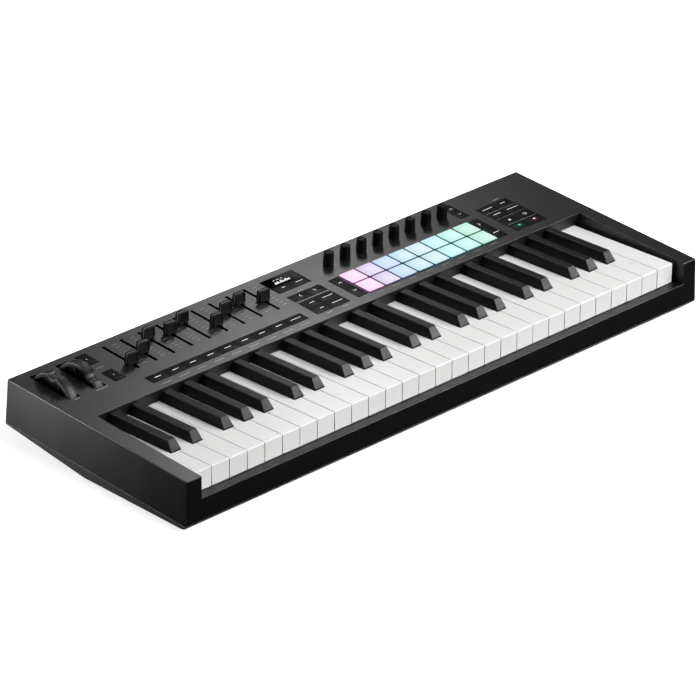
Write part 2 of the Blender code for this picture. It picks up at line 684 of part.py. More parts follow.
def rear_io():
    """The socket board inside the rear wall: USB, DIN and pedal jack."""
    board = box((-232 * MM, 100 * MM, 27.5 * MM), (-142 * MM, 125 * MM, 29.1 * MM))
    obj = place("rear_io", board, SOCKET_PLASTIC)
    bottom = 28.5 * MM
    x, z, _ = JACK
    bodies = [box((x - 7 * MM, 104 * MM, bottom), (x + 7 * MM, IO_BACK_Y, z + 7 * MM))]
    x, z, _ = DIN
    bodies.append(box((x - 9.5 * MM, 112 * MM, bottom), (x + 9.5 * MM, IO_BACK_Y, z + 9.5 * MM)))
    x, z, half_x, half_z = USB
    bodies.append(box((x - half_x, 114 * MM, bottom), (x + half_x, IO_BACK_Y, z + half_z)))
    combine(obj, helper("socket_bodies", merged(bodies)), "UNION")
    x, z, _ = JACK
    bores = [cylinder(JACK_BORE, (x, 108 * MM, z), (x, IO_BACK_Y + 5 * MM, z), 24)]
    x, z, half_x, half_z = USB
    bores.append(box((x - half_x + 0.9 * MM, 119 * MM, z - half_z + 0.8 * MM),
                     (x + half_x - 0.9 * MM, IO_BACK_Y + 5 * MM, z + half_z - 0.8 * MM)))
    combine(obj, helper("socket_bores", merged(bores)))
    return obj


def build():
    top_case()
    bottom_case()
    for white in range(WHITE_KEYS):
        white_key(white)
    for octave in range(OCTAVES):
        black_octave(octave)
    key_chassis()
    faders()
    knobs()
    for name in WHEEL_X:
        wheel(name)
    pad_mat()
    button_mat()
    display_module()
    main_board()
    rear_io()


build()
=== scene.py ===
"""The looks of a 49-key MIDI keyboard controller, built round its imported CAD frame.

Metres, +Z up, in the frame's own axes: X along the keys, -Y the player's side. What sits on
the leaning control panel is built in the panel's frame (x, v up the panel, w out of it) and
then turned into place. Pieces take their places from the CAD nodes' boxes where they have one.
"""

import math

import bmesh
import bpy
from mathutils import Matrix, Vector


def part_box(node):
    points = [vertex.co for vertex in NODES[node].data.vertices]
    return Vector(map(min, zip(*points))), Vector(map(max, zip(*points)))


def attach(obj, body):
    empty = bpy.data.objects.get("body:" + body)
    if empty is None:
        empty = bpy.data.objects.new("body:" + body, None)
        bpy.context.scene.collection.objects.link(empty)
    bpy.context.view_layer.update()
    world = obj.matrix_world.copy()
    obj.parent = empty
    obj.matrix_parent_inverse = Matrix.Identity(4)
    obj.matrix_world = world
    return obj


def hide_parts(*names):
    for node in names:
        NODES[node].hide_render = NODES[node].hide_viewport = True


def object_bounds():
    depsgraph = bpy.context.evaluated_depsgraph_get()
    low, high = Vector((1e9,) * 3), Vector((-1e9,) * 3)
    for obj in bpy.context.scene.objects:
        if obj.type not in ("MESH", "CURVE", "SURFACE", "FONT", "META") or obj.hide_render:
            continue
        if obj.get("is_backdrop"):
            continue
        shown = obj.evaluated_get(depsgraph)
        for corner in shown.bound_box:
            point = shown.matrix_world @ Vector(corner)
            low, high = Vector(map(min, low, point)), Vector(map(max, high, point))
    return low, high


MM = 0.001
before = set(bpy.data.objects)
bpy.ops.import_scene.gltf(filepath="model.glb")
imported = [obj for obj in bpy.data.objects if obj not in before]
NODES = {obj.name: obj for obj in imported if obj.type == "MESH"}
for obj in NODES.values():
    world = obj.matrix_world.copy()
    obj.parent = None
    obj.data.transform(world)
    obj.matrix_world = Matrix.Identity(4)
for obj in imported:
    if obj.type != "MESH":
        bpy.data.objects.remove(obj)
CAD_BOX = [list(corner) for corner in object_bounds()]

# The panel's plane and the part of it that has openings, from the CAD
FRONT_Y, PANEL_FRONT_Z, PANEL_SLOPE = -133.5 * MM, 57.75 * MM, 0.0456
PANEL = (Matrix.Translation((0, FRONT_Y, PANEL_FRONT_Z))
         @ Matrix.Rotation(math.atan(PANEL_SLOPE), 4, "X"))
OPENINGS_X, OPENINGS_FRONT_Y, OPENINGS_BACK_Y = 355 * MM, 20 * MM, 128 * MM

# The underside: level at the front, then rising to the back
BASE_Z, BASE_BREAK_Y, BASE_SLOPE = 5.0 * MM, 15.0 * MM, 0.124

# The tops of the white keys
KEY_FRONT_Y, KEY_TOP_FRONT_Z, KEY_TOP_SLOPE = -121.6 * MM, 55.8 * MM, -0.033
BLACK_KEY_FRONT_Y = -73 * MM

WHITE_KEYS, OCTAVES, FADERS, COLUMNS = 29, 4, 9, 8

# Controls, in millimetres on the panel: heights are from its surface
BUTTON_TOP, BUTTON_GAP = 0.2, 0.6
SHEET_LOW, SHEET_HIGH = -4.4, -3.2
FIRST_PAD_X, PAD_PITCH = 53.4, 23.9
PAD_ROWS = {"near": 176.2, "far": 200.7}
PRINT_RISE = 0.05

# Blocks of buttons, in millimetres on the panel: left, right, lower v, upper v, columns, rows
BUTTON_BLOCKS = {
    "fader": (-256.2, -43.7, 165.6, 179.3, 9, 1),
    "octave_down": (-282.7, -268.7, 192.5, 214.5, 1, 1),
    "octave_up": (-282.7, -268.7, 233.1, 254.9, 1, 1),
    "menu": (-30.7, 14.8, 165.6, 195.5, 2, 2),
    "track": (-30.7, 14.8, 198.6, 212.3, 2, 1),
    "display": (-30.7, 14.8, 222.9, 236.0, 2, 1),
    "pad_left": (27.3, 40.4, 165.6, 211.7, 1, 2),
    "pad_right": (234.8, 247.8, 165.6, 212.3, 1, 2),
    "bank": (234.8, 247.8, 222.9, 254.4, 1, 2),
    "transport_upper": (261.3, 306.8, 197.5, 227.5, 2, 2),
    "transport_lower": (261.3, 306.8, 165.1, 196.0, 2, 2),
}
DISPLAY = (-30.7, 14.8, 236.9, 253.9)

CAMERA_PLACE = (-2.95234, -3.01079, 2.15867)
CAMERA_FORWARD, CAMERA_RIGHT = (0.62305, 0.63877, -0.45143), (0.71885, -0.69511, 0.00856)
CAMERA_LENS = 236.80

# Studio lights: place, aim, size, power and the rays that see them. The broad front one comes
# twice, for its shading and for its gloss; the small ones put sheen on the panel, the left side
# and the edges.
KEYS, PANEL_MIDDLE, LEFT_SIDE = (0, 0, 0.05), (-0.03, 0.05, 0.066), (-0.36, 0.1, 0.04)
LIGHTS = {
    "soft_front": ((1, -1.9, 1.9), KEYS, (3, 2), 131, "diffuse"),
    "front_gloss": ((1, -1.9, 1.9), KEYS, (3, 2), 22, "glossy"),
    "key_front_gloss": ((1.12, -1.197, 0.893), (0, -0.07, 0.06), (0.5, 0.5), 33, "glossy"),
    "panel_sheen": ((0.655, 0.705, 0.9), PANEL_MIDDLE, (0.06, 0.4), 3.5, "glossy"),
    "panel_sheen_left": ((0.575, 0.705, 0.9), (-0.11, 0.05, 0.066), (0.2, 0.4), 0.43, "glossy"),
    "side_gloss_far": ((-1, 0.75, 0.12), LEFT_SIDE, (0.5, 0.3), 1.2, "glossy"),
    "side_gloss_near": ((-0.7, 0.42, 0.05), LEFT_SIDE, (0.12, 0.08), 2.9, "glossy"),
    "back_fill": ((-0.9, 2.4, 0.45), (-0.1, 0.1, 0.04), (1.6, 0.8), 14, "all"),
    "left_edges": ((-1, 1.3, 1.2), (-0.36, 0, 0.07), (0.3, 0.3), 15, "glossy"),
    "front_edges": ((1.02, -0.72, 1.06), (0, 0, 0.07), (0.3, 0.3), 16, "glossy"),
}


# ---------------------------------------------------------------- camera, lights and floor

def make_camera():
    data = bpy.data.cameras.new("camera")
    data.sensor_width = 36.0
    data.lens = CAMERA_LENS
    data.clip_start, data.clip_end = 0.05, 60.0
    forward = Vector(CAMERA_FORWARD).normalized()
    right = Vector(CAMERA_RIGHT)
    right = (right - right.dot(forward) * forward).normalized()
    up = right.cross(forward)
    turn = Matrix((right, up, -forward)).transposed().to_4x4()
    obj = bpy.data.objects.new("camera", data)
    bpy.context.scene.collection.objects.link(obj)
    obj.matrix_world = Matrix.Translation(CAMERA_PLACE) @ turn
    bpy.context.scene.camera = obj


def area_light(name, place, aim, size, power, rays):
    data = bpy.data.lights.new(name, "AREA")
    data.shape = "RECTANGLE"
    data.size, data.size_y = size
    data.energy = power
    obj = bpy.data.objects.new(name, data)
    bpy.context.scene.collection.objects.link(obj)
    direction = Vector(aim) - Vector(place)
    turn = direction.to_track_quat("-Z", "Y").to_matrix().to_4x4()
    obj.matrix_world = Matrix.Translation(place) @ turn
    obj.visible_camera = False
    obj.visible_diffuse = rays != "glossy"
    obj.visible_glossy = rays != "diffuse"


def make_world():
    """A dim even ceiling over a dark horizon."""
    world = bpy.data.worlds.new("studio")
    world.use_nodes = True
    tree = world.node_tree
    coords = tree.nodes.new("ShaderNodeTexCoord")
    split = tree.nodes.new("ShaderNodeSeparateXYZ")
    ramp = tree.nodes.new("ShaderNodeValToRGB")
    tree.links.new(coords.outputs["Generated"], split.inputs[0])
    tree.links.new(split.outputs["Z"], ramp.inputs["Fac"])
    tree.links.new(ramp.outputs["Color"], tree.nodes["Background"].inputs["Color"])
    stops = ramp.color_ramp.elements
    stops[0].position, stops[0].color = 0.15, (0.0, 0.0, 0.0, 1)
    stops[1].position, stops[1].color = 0.35, (0.125, 0.125, 0.125, 1)
    tree.nodes["Background"].inputs["Strength"].default_value = 1.0
    bpy.context.scene.world = world


def make_stage():
    scene = bpy.context.scene
    scene.view_settings.view_transform = "Standard"
    scene.view_settings.look = "None"
    make_world()
    for name, settings in LIGHTS.items():
        area_light(name, *settings)
    bm = bmesh.new()
    bmesh.ops.create_grid(bm, x_segments=8, y_segments=8, size=5.0)
    floor = make_object("floor", bm, floor_finish())
    floor.visible_glossy = False
    floor.visible_diffuse = False
    floor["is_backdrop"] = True


# ---------------------------------------------------------------- materials

EDGE_MASK_REACH = 0.6 * MM


class Finish:
    """One procedural material, with small helpers to wire it."""

    def __init__(self, name):
        self.material = bpy.data.materials.new(name)
        self.material.use_nodes = True
        self.tree = self.material.node_tree
        self.shader = self.tree.nodes["Principled BSDF"]
        self.object_coords = self.add("ShaderNodeTexCoord").outputs["Object"]

    def add(self, kind, **settings):
        made = self.tree.nodes.new(kind)
        for key, value in settings.items():
            setattr(made, key, value)
        return made

    def link(self, source, target):
        self.tree.links.new(source, target)

    def put(self, **values):
        for key, value in values.items():
            self.shader.inputs[key.replace("_", " ")].default_value = value

    def noise(self, scale, detail=2.0, stretch=None):
        made = self.add("ShaderNodeTexNoise")
        made.inputs["Scale"].default_value = scale
        made.inputs["Detail"].default_value = detail
        coords = self.object_coords
        if stretch:
            mapping = self.add("ShaderNodeMapping")
            mapping.inputs["Scale"].default_value = stretch
            self.link(coords, mapping.inputs["Vector"])
            coords = mapping.outputs["Vector"]
        self.link(coords, made.inputs["Vector"])
        return made.outputs["Fac"]

    def ranged(self, source, low, high, start=0.3, end=0.7):
        made = self.add("ShaderNodeMapRange")
        made.inputs["From Min"].default_value = start
        made.inputs["From Max"].default_value = end
        made.inputs["To Min"].default_value = low
        made.inputs["To Max"].default_value = high
        self.link(source, made.inputs["Value"])
        return made.outputs["Result"]

    def mix(self, factor, first, second):
        made = self.add("ShaderNodeMix", data_type="RGBA")
        for value, socket in zip((factor, first, second), (made.inputs[i] for i in (0, 6, 7))):
            if isinstance(value, tuple):
                socket.default_value = (*value, 1.0)
            else:
                self.link(value, socket)
        return made.outputs[2]

    def bump(self, height, distance, strength, under=None):
        made = self.add("ShaderNodeBump")
        made.inputs["Strength"].default_value = strength
        made.inputs["Distance"].default_value = distance
        self.link(height, made.inputs["Height"])
        if under:
            self.link(under, made.inputs["Normal"])
        return made.outputs["Normal"]

    def convex_edges(self, radius):
        """1 on convex edges, 0 on flats."""
        rounded = self.add("ShaderNodeBevel", samples=4)
        rounded.inputs["Radius"].default_value = radius
        flat = self.add("ShaderNodeNewGeometry")
        dot = self.add("ShaderNodeVectorMath", operation="DOT_PRODUCT")
        self.link(rounded.outputs["Normal"], dot.inputs[0])
        self.link(flat.outputs["Normal"], dot.inputs[1])
        return self.ranged(dot.outputs["Value"], 1.0, 0.0, 0.90, 0.995)


def shade(colour, factor):
    return tuple(c * factor for c in colour)


def plastic(name, colour, roughness, grain=1800.0, depth=0.00003, uneven=0.10, wear_and_highlight=0.0,
            wear_and_highlight_colour=None, spread=0.06, **settings):
    """Moulded plastic: spark-eroded grain, slow colour drift, handling marks, and convex edges painted
    lighter, partly rubbed wear and partly a painted highlight.
    """
    f = Finish(name)
    drift = f.ranged(f.noise(9.0, 4.0), 0.0, 1.0)
    tone = f.mix(drift, shade(colour, 1 - uneven), shade(colour, 1 + uneven))
    if wear_and_highlight:
        # Convex edges turn lighter: part rubbed wear, part painted highlight.
        mask = f.add("ShaderNodeMath", operation="MULTIPLY")
        f.link(f.convex_edges(EDGE_MASK_REACH), mask.inputs[0])
        f.link(f.ranged(f.noise(160.0, 3.0), 0.25, wear_and_highlight), mask.inputs[1])
        tone = f.mix(mask.outputs[0], tone, wear_and_highlight_colour or shade(colour, 3.0))
    f.link(tone, f.shader.inputs["Base Color"])
    smudge = f.ranged(f.noise(38.0, 5.0), roughness - spread, roughness + spread)
    f.link(smudge, f.shader.inputs["Roughness"])
    waves = f.bump(f.noise(60.0, 1.0), 0.00004, 0.25)
    f.link(f.bump(f.noise(grain, 2.0), depth, 0.8, waves), f.shader.inputs["Normal"])
    f.put(**settings)
    return f.material


def metal(name, colour, roughness, stretch=(1, 1, 1)):
    """Plated metal with fine drawing lines."""
    f = Finish(name)
    f.link(f.mix(f.noise(300.0, 3.0, stretch), shade(colour, 0.8), colour),
           f.shader.inputs["Base Color"])
    f.link(f.ranged(f.noise(700.0, 3.0, stretch), roughness - 0.07, roughness + 0.1),
           f.shader.inputs["Roughness"])
    f.link(f.bump(f.noise(1500.0, 2.0, stretch), 0.00002, 0.5), f.shader.inputs["Normal"])
    f.put(Metallic=1.0)
    return f.material


def radial(f, reach, power, shift=(0.0, 0.0)):
    """1 in the middle of a piece's own box, or shifted from it, falling to 0 towards its sides."""
    box = f.add("ShaderNodeTexCoord").outputs["Generated"]
    flat = f.add("ShaderNodeVectorMath", operation="MULTIPLY_ADD")
    flat.inputs[1].default_value = (2, 2, 0)
    flat.inputs[2].default_value = (-1 - shift[0], -1 - shift[1], 0)
    f.link(box, flat.inputs[0])
    length = f.add("ShaderNodeVectorMath", operation="LENGTH")
    f.link(flat.outputs["Vector"], length.inputs[0])
    fall = f.ranged(length.outputs["Value"], 1.0, 0.0, 0.0, reach)
    curve = f.add("ShaderNodeMath", operation="POWER")
    curve.inputs[1].default_value = power
    f.link(fall, curve.inputs[0])
    return curve.outputs[0]


def glowing_pad(name, heart, edge):
    """Milky silicone with a coloured lamp under it: pale in the middle, richer to the sides."""
    f = Finish(name)
    light = f.mix(radial(f, 1.65, 0.7, (0.30, -0.15)), edge, heart)
    cloud = f.ranged(f.noise(220.0, 3.0), 0.95, 1.02)
    f.link(light, f.shader.inputs["Emission Color"])
    f.link(cloud, f.shader.inputs["Emission Strength"])
    f.link(f.mix(f.noise(90.0), shade(edge, 0.02), shade(edge, 0.04)), f.shader.inputs["Base Color"])
    f.link(f.ranged(f.noise(60.0, 4.0), 0.55, 0.7), f.shader.inputs["Roughness"])
    f.link(f.bump(f.noise(1400.0), 0.00003, 0.6), f.shader.inputs["Normal"])
    f.put(Specular_IOR_Level=0.12)
    return f.material


def pad_wall_painted_shade(name, edge):
    """The side of a pad, down in its gap: a faint glow of its lamp, with a darker colour and dimmer
    glow that are painted shade of the gap.
    """
    f = Finish(name)
    f.link(f.mix(f.noise(300.0), shade(edge, 0.008), shade(edge, 0.016)), f.shader.inputs["Base Color"])
    f.put(Emission_Color=(*(c ** 2.2 for c in edge), 1), Specular_IOR_Level=0.05)
    f.link(f.ranged(f.noise(500.0), 0.11, 0.16), f.shader.inputs["Emission Strength"])
    f.link(f.ranged(f.noise(120.0, 3.0), 0.55, 0.7), f.shader.inputs["Roughness"])
    return f.material


def halo_button(name, colour, strength):
    """Button silicone that its own lamp shines through round the mark."""
    f = Finish(name)
    f.link(f.mix(f.noise(200.0), (0.004, 0.004, 0.0045), (0.007, 0.007, 0.008)),
           f.shader.inputs["Base Color"])
    spot = f.add("ShaderNodeMath", operation="MULTIPLY")
    spot.inputs[1].default_value = strength
    f.link(radial(f, 0.75, 1.5), spot.inputs[0])
    f.put(Emission_Color=(*colour, 1), Specular_IOR_Level=0.05)
    f.link(spot.outputs[0], f.shader.inputs["Emission Strength"])
    f.link(f.ranged(f.noise(60.0, 4.0), 0.42, 0.50), f.shader.inputs["Roughness"])
    f.link(f.bump(f.noise(1800.0), 0.00003, 0.6), f.shader.inputs["Normal"])
    return f.material


def ink(name, colour, strength=0.0):
    """Printed or back-lit mark, slightly uneven as ink is."""
    f = Finish(name)
    f.link(f.mix(f.ranged(f.noise(900.0, 3.0), 0.0, 1.0), shade(colour, 0.82), colour),
           f.shader.inputs["Base Color"])
    f.link(f.ranged(f.noise(500.0), 0.5, 0.65), f.shader.inputs["Roughness"])
    if strength:
        f.put(Emission_Color=(*colour, 1))
        f.link(f.ranged(f.noise(1100.0), strength * 0.85, strength),
               f.shader.inputs["Emission Strength"])
    return f.material


def lens_with_painted_reflection(name, dark, pale):
    """A display lens of dark smoked glass, with a painted reflection that turns it paler towards its
    far right corner.
    """
    across, up, dark_until, pale_from = 32.2, 14.5, 21.5, 30.5
    f = Finish(name)
    along = f.add("ShaderNodeVectorMath", operation="DOT_PRODUCT")
    along.inputs[1].default_value = (across, up, 0)
    f.link(f.add("ShaderNodeTexCoord").outputs["Generated"], along.inputs[0])
    # Paler towards the far right corner: a painted reflection.
    tone = f.mix(f.ranged(along.outputs["Value"], 0.0, 1.0, dark_until, pale_from), dark, pale)
    f.link(f.mix(f.ranged(f.noise(400.0, 3.0), 0.0, 0.2), tone, dark), f.shader.inputs["Base Color"])
    f.link(f.ranged(f.noise(60.0, 4.0), 0.25, 0.35), f.shader.inputs["Roughness"])
    f.link(f.bump(f.noise(300.0), 0.000001, 0.5), f.shader.inputs["Normal"])
    f.put(Specular_IOR_Level=0.002)
    return f.material


def floor_finish():
    f = Finish("floor_paper")
    f.link(f.mix(f.noise(3.0), (0.93, 0.93, 0.93), (0.96, 0.96, 0.96)), f.shader.inputs["Base Color"])
    f.link(f.ranged(f.noise(40.0), 0.85, 0.95), f.shader.inputs["Roughness"])
    f.put(Specular_IOR_Level=0.1, Emission_Color=(1, 1, 1, 1), Emission_Strength=0.8)
    return f.material


# The lighter edge colours given below are partly wear and partly a painted highlight on the edges.
CASE = plastic("case_plastic", (0.0018, 0.0018, 0.0019), 0.42, wear_and_highlight=0.8,
               wear_and_highlight_colour=(0.05, 0.05, 0.052), spread=0.015)
BASE = plastic("base_plastic", (0.0020, 0.0020, 0.0021), 0.55, wear_and_highlight=0.5,
               wear_and_highlight_colour=(0.02, 0.02, 0.02), spread=0.02)
RUBBER = plastic("foot_rubber", (0.010, 0.010, 0.0102), 0.75, grain=900.0, depth=0.00006, wear_and_highlight=0.4)
WHITE = plastic("white_key_plastic", (0.80, 0.80, 0.79), 0.30, grain=900.0, depth=0.000006,
                uneven=0.012, spread=0.03, Specular_IOR_Level=0.13)
BLACK = plastic("black_key_plastic", (0.0070, 0.0070, 0.0072), 0.40, grain=1500.0, wear_and_highlight=0.7,
                wear_and_highlight_colour=(0.03, 0.03, 0.03), Specular_IOR_Level=0.13)
CHASSIS = plastic("chassis_plastic", (0.22, 0.22, 0.22), 0.6)
CAP = plastic("cap_plastic", (0.0040, 0.0040, 0.0042), 0.38, wear_and_highlight=0.9,
              wear_and_highlight_colour=(0.09, 0.09, 0.092), Specular_IOR_Level=0.09)
KNOB = plastic("knob_rubber", (0.0026, 0.0026, 0.0028), 0.42, wear_and_highlight=0.8,
               wear_and_highlight_colour=(0.02, 0.02, 0.02), Specular_IOR_Level=0.06)
RIM = plastic("wheel_rim", (0.0055, 0.0055, 0.0058), 0.45, wear_and_highlight=0.9,
              wear_and_highlight_colour=(0.085, 0.085, 0.085), Specular_IOR_Level=0.42)
TYRE = plastic("wheel_rubber", (0.0025, 0.0025, 0.0027), 0.48, grain=1200.0, depth=0.00006, wear_and_highlight=0.9,
               wear_and_highlight_colour=(0.05, 0.05, 0.05), Specular_IOR_Level=0.36)
SHEET = plastic("keypad_silicone", (0.006, 0.006, 0.0065), 0.65)
BUTTON = plastic("button_silicone", (0.0050, 0.0050, 0.0055), 0.46, grain=1500.0, wear_and_highlight=0.8,
                 wear_and_highlight_colour=(0.03, 0.03, 0.03), Specular_IOR_Level=0.05)
GLASS = lens_with_painted_reflection("display_glass", (0.0006, 0.0006, 0.0008), (0.046, 0.046, 0.047))
# Near black for what lies in shade: the walls of slots and holes, screw crosses and socket holes are
# painted shade.
SHADOW = plastic("painted_hole_shade", (0.0008, 0.0008, 0.0008), 0.8, Specular_IOR_Level=0.03)
LABEL = plastic("label_foil", (0.16, 0.16, 0.165), 0.4, grain=400.0)
SOCKET = plastic("socket_plastic", (0.006, 0.006, 0.006), 0.5)
NICKEL = metal("nickel", (0.62, 0.60, 0.56), 0.3, (1, 8, 1))
STEEL = metal("screw_steel", (0.10, 0.10, 0.105), 0.4)
# Darkened nearly to black: painted shade down in the slots over the board.
SHADED_BOARD = plastic("board_laminate", (0.0015, 0.0022, 0.0017), 0.7, grain=500.0,
                Specular_IOR_Level=0.02)
PRINT = ink("panel_print", (0.27, 0.27, 0.27))
PRINT_BRIGHT = ink("panel_print_bright", (0.38, 0.38, 0.38))
LAMP = ink("white_mark", (0.86, 0.86, 0.84), 0.35)
SCREEN = ink("screen_mark", (0.95, 0.97, 1.0), 0.9)
PLAY = ink("play_mark", (0.33, 0.66, 0.55), 0.28)
RECORD = ink("record_mark", (0.82, 0.68, 0.76), 0.35)


# ---------------------------------------------------------------- mesh building

def make_object(name, shape, *finishes, angle=35.0):
    """angle, in degrees, is where shading stays sharp."""
    mesh = bpy.data.meshes.new(name)
    shape.to_mesh(mesh)
    shape.free()
    for finish in finishes:
        mesh.materials.append(finish)
    mesh.shade_smooth()
    mesh.set_sharp_from_angle(angle=math.radians(angle))
    obj = bpy.data.objects.new(name, mesh)
    bpy.context.scene.collection.objects.link(obj)
    return obj


def piece(name, shape, finish, body, replaces=(), angle=35.0):
    """A visible piece: its object, the body it rides on and what it stands for."""
    finishes = finish if isinstance(finish, (list, tuple)) else [finish]
    obj = make_object(name, shape, *finishes, angle=angle)
    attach(obj, body)
    if replaces:
        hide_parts(*replaces)
    return obj


def ring(half_x, half_y, radius, height, steps=4, centre=(0.0, 0.0)):
    """A rounded rectangle as a list of points, anticlockwise seen from above."""
    radius = max(min(radius, half_x, half_y), 0.001)
    points = []
    for side_x, side_y, start in ((1, 1, 0), (-1, 1, 90), (-1, -1, 180), (1, -1, 270)):
        for k in range(steps + 1):
            a = math.radians(start + 90 * k / steps)
            points.append((centre[0] + side_x * (half_x - radius) + radius * math.cos(a),
                           centre[1] + side_y * (half_y - radius) + radius * math.sin(a), height))
    return points


def loft(rings, closed=False):
    """Skins a stack of rings with the same number of points; millimetres in, metres out."""
    bm = bmesh.new()
    loops = [[bm.verts.new(Vector(p) * MM) for p in points] for points in rings]
    count = len(loops[0])
    pairs = list(zip(loops, loops[1:]))
    if closed:
        pairs.append((loops[-1], loops[0]))
    for low, high in pairs:
        for i in range(count):
            j = (i + 1) % count
            bm.faces.new((low[i], low[j], high[j], high[i]))
    if not closed:
        bm.faces.new(reversed(loops[0]))
        bm.faces.new(loops[-1])
    bmesh.ops.recalc_face_normals(bm, faces=bm.faces)
    return bm


def slab(size, bottom, top, corner, edge, crown=0.0, centre=(0.0, 0.0)):
    """A rounded block whose upper edge is rolled over, crowned in the middle if asked."""
    half_x, half_y = size[0] / 2, size[1] / 2
    rings = [(0.0, bottom), (0.0, top - crown - edge)]
    for k in (1, 2, 3):
        a = math.radians(30 * k)
        rings.append((edge * (1 - math.cos(a)), top - crown - edge + edge * math.sin(a)))
    if crown:
        for t in (0.2, 0.45, 0.7):
            inset = edge + t * (min(half_x, half_y) - edge)
            rings.append((inset, top - crown * (1 - t) ** 2))
    return loft([ring(half_x - i, half_y - i, max(corner - i, 0.05), z, centre=centre)
                 for i, z in rings])


def turned(profile, steps, axis="Z", radius_at=None):
    """The rings that a profile of (radius, height) makes round an axis."""
    rings = []
    for radius, height in profile:
        points = []
        for k in range(steps):
            a = 2 * math.pi * k / steps
            r = radius_at(radius, height, a) if radius_at else radius
            across, up = r * math.cos(a), r * math.sin(a)
            points.append((across, up, height) if axis == "Z" else (height, across, up))
        rings.append(points)
    return rings


def lathe(profile, steps, axis="Z", radius_at=None):
    """A solid turned from a profile that starts and ends on the axis."""
    return loft(turned(profile, steps, axis, radius_at))


def joined(shapes):
    bm = bmesh.new()
    for shape in shapes:
        mesh = bpy.data.meshes.new("shape")
        shape.to_mesh(mesh)
        shape.free()
        bm.from_mesh(mesh)
        bpy.data.meshes.remove(mesh)
    return bm


def moved(bm, matrix):
    bm.transform(matrix)
    return bm


def on_panel(bm, x=0.0, v=0.0):
    """Puts a shape on the panel, at millimetres along it and up it."""
    return moved(bm, PANEL @ Matrix.Translation((x * MM, v * MM, 0)))


def panel_spot(node):
    """Where a CAD node's middle is on the panel, in millimetres."""
    low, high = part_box(node)
    spot = PANEL.inverted() @ ((low + high) / 2)
    return spot.x / MM, spot.y / MM


def refined(node, finish, body, width, weight, segments=3, prepare=None):
    """The CAD node's own shape with its real edge rounding.

    weight(edge) scales width for each edge, and prepare(bm) works on the shape first.
    """
    bm = bmesh.new()
    bm.from_mesh(NODES[node].data)
    bmesh.ops.remove_doubles(bm, verts=bm.verts, dist=2e-6)
    bmesh.ops.dissolve_limit(bm, angle_limit=math.radians(0.6), verts=bm.verts, edges=bm.edges)
    if prepare:
        prepare(bm)
    layer = bm.edges.layers.float.new("bevel_weight_edge")
    for edge in bm.edges:
        if len(edge.link_faces) == 2 and edge.calc_face_angle() > math.radians(25):
            edge[layer] = weight(edge)
    obj = piece(node + "_shell", bm, finish, body, [node], angle=30)
    bevel = obj.modifiers.new("edges", "BEVEL")
    bevel.limit_method = "WEIGHT"
    bevel.width = width
    bevel.segments = segments
    bevel.use_clamp_overlap = False
    bevel.harden_normals = True
    return obj


# ---------------------------------------------------------------- case

def in_openings(spot):
    """Whether a point is over the part of the panel that has slots and openings."""
    return abs(spot.x) < OPENINGS_X and OPENINGS_FRONT_Y < spot.y < OPENINGS_BACK_Y


def above_panel(spot):
    return (PANEL.inverted() @ spot).z


def top_case():
    outer_x, outer_front_y, outer_back_y = 340 * MM, -115 * MM, 126 * MM
    upper_z, lower_z = 54 * MM, 9 * MM

    def weight(edge):
        spots = [v.co for v in edge.verts]
        if all(in_openings(s) for s in spots):
            return 0.35 if all(abs(above_panel(s)) < 0.02 * MM for s in spots) else 0.0
        outer = any(abs(s.x) > outer_x or s.y < outer_front_y or s.y > outer_back_y or s.z > upper_z
                    for s in spots)
        return 1.0 if outer and all(s.z > lower_z for s in spots) else 0.0

    def recesses(bm):
        """The walls of the slots and openings take the second material, dark as painted shade."""
        for face in bm.faces:
            middle = face.calc_center_median()
            face.material_index = int(in_openings(middle) and above_panel(middle) < -0.1 * MM)

    refined("top_case", [CASE, SHADOW], "case", 0.35 * MM, weight, segments=2,
            prepare=recesses)


def base_z(y):
    return BASE_Z + BASE_SLOPE * max(0.0, y - BASE_BREAK_Y)


def bottom_case():
    rows, columns, spread = (-95.0 * MM, 0.0, 112.0 * MM), 5, 330.0 * MM

    def soles(bm):
        """The four feet take the rubber, the second material."""
        for face in bm.faces:
            middle = face.calc_center_median()
            face.material_index = int(middle.z < base_z(middle.y) - 0.2 * MM)

    refined("bottom_case", [BASE, RUBBER], "case", 0.5 * MM, lambda edge: 1.0, segments=2,
            prepare=soles)
    for row, y in enumerate(rows):
        for column in range(columns):
            place = Matrix.Translation((-spread + column * spread / 2, y, base_z(y)))
            if y > BASE_BREAK_Y:
                place = place @ Matrix.Rotation(math.atan(BASE_SLOPE), 4, "X")
            boss = lathe([(4.6, 0.3), (4.6, -0.25), (4.3, -0.5), (3.7, -0.5), (3.4, -0.25),
                          (3.4, 0.3)], 40)
            head = lathe([(0.01, 0.3), (3.1, 0.3), (3.1, -0.2), (2.6, -0.55), (1.6, -0.75),
                          (0.01, -0.8)], 40)
            cross = [slab((3.4, 0.7), -0.84, -0.6, 0.1, 0.03), slab((0.7, 3.4), -0.84, -0.6, 0.1, 0.03)]
            name = f"{row + 1}_{column + 1}"
            piece("screw_boss_" + name, moved(boss, place), BASE, "case")
            piece("screw_" + name, moved(head, place), STEEL, "case")
            piece("screw_cross_" + name, moved(joined(cross), place), SHADOW, "case")
    label = slab((78.0, 34.0), 4.85, 5.02, 2.0, 0.03, centre=(60.0, -50.0))
    piece("rating_label", label, LABEL, "case")


# ---------------------------------------------------------------- keys

def key_top_z(y):
    return KEY_TOP_FRONT_Z + KEY_TOP_SLOPE * (y - KEY_FRONT_Y)


